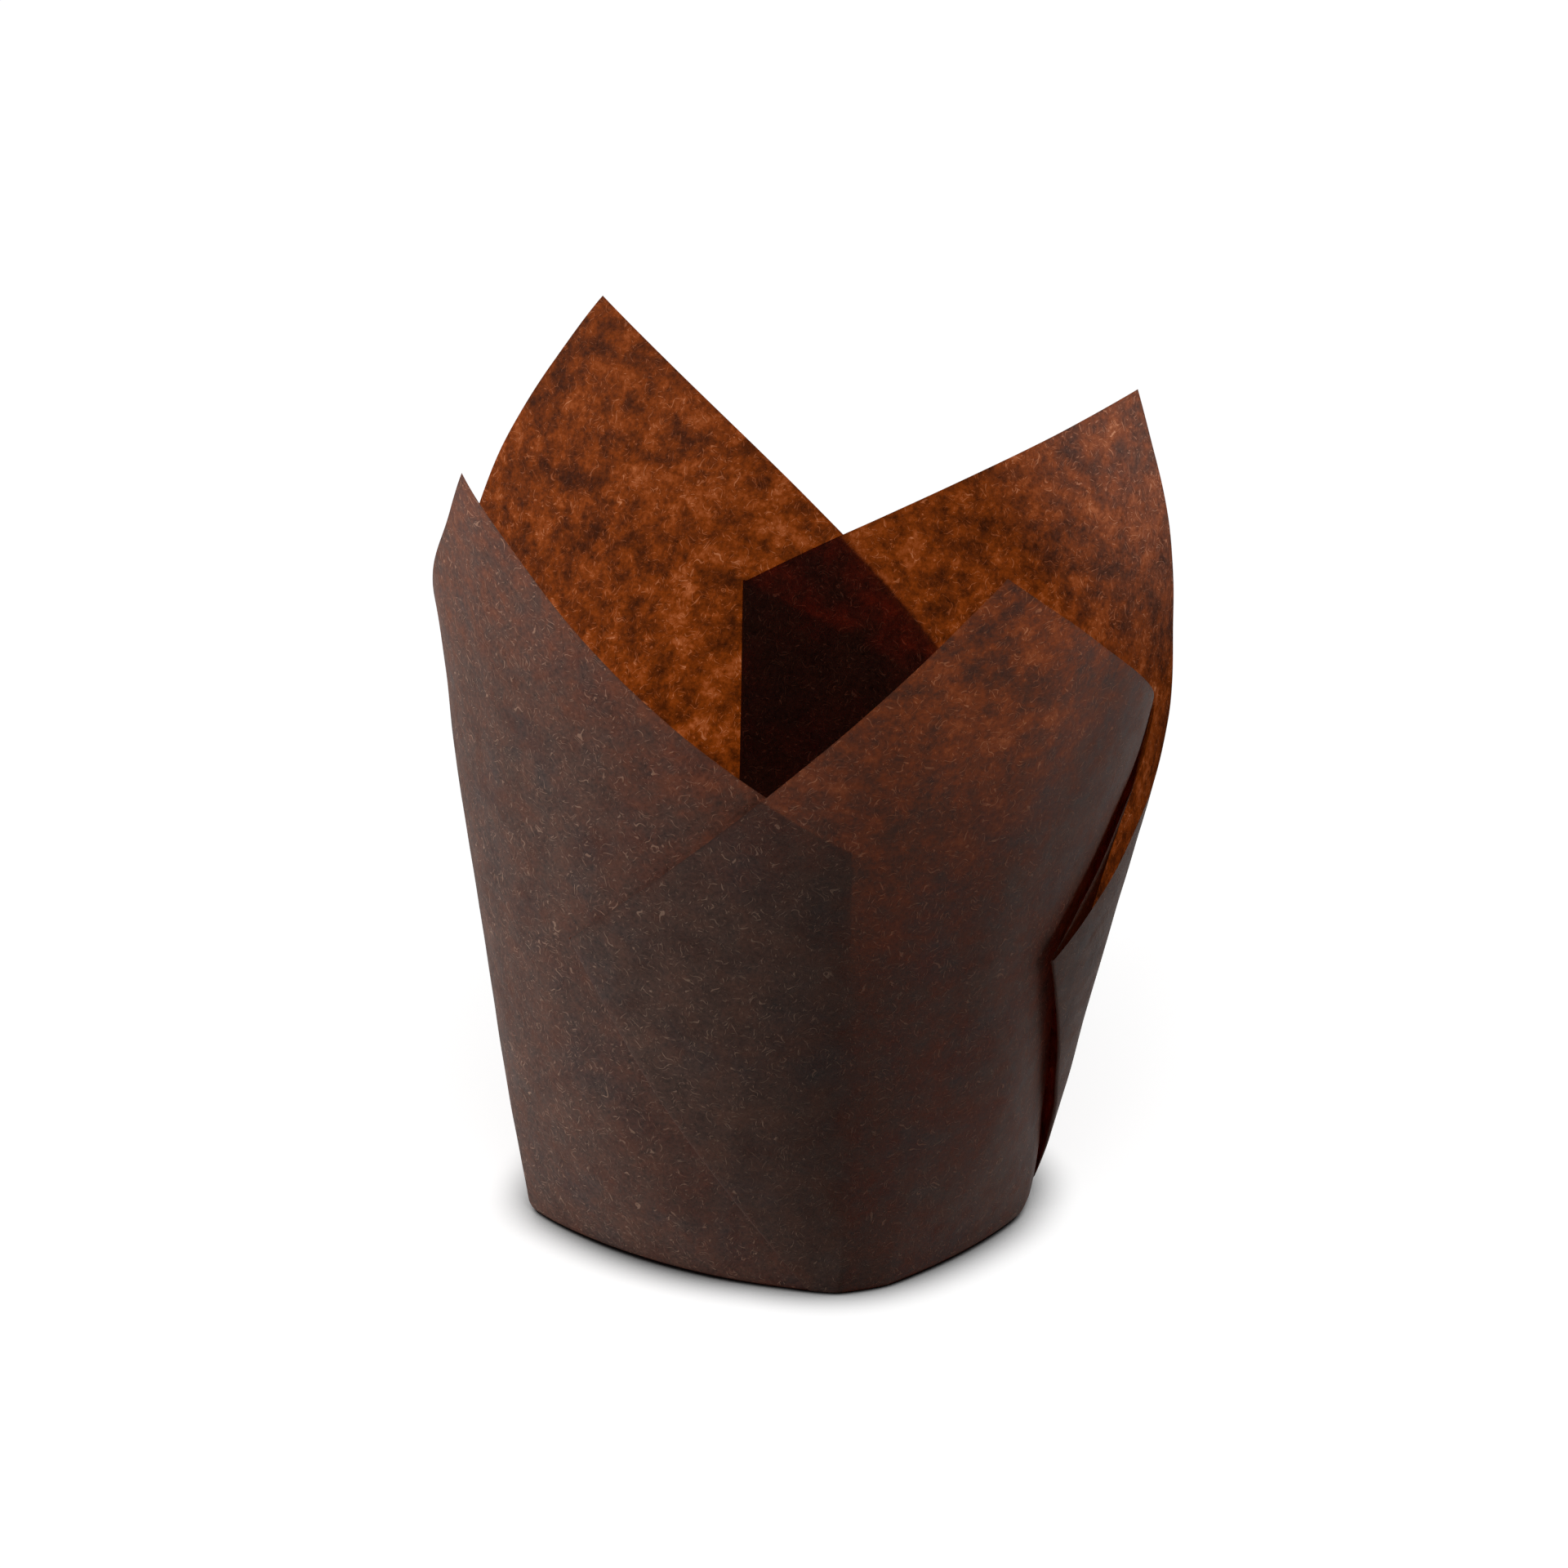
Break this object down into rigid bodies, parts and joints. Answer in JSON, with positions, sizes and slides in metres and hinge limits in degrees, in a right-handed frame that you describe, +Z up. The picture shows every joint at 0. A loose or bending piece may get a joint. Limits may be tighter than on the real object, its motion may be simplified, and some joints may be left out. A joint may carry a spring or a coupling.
{
  "type": "tulip muffin cup",
  "caption": "Tulip-shaped baking cup folded from one square of thin brown greaseproof paper, with pointed petals.",
  "frame": {"origin": "centre of the flat base, on its underside", "axes": "+Z up, out of the cup's mouth; the lowest petal's overlapping edge faces -Y"},
  "size_m": [0.0739, 0.0766, 0.085],
  "materials": {
    "brown_paper": "matte"
  },
  "bodies": {
    "root": {"paper_cup": "brown_paper"}
  },
  "joints": []
}
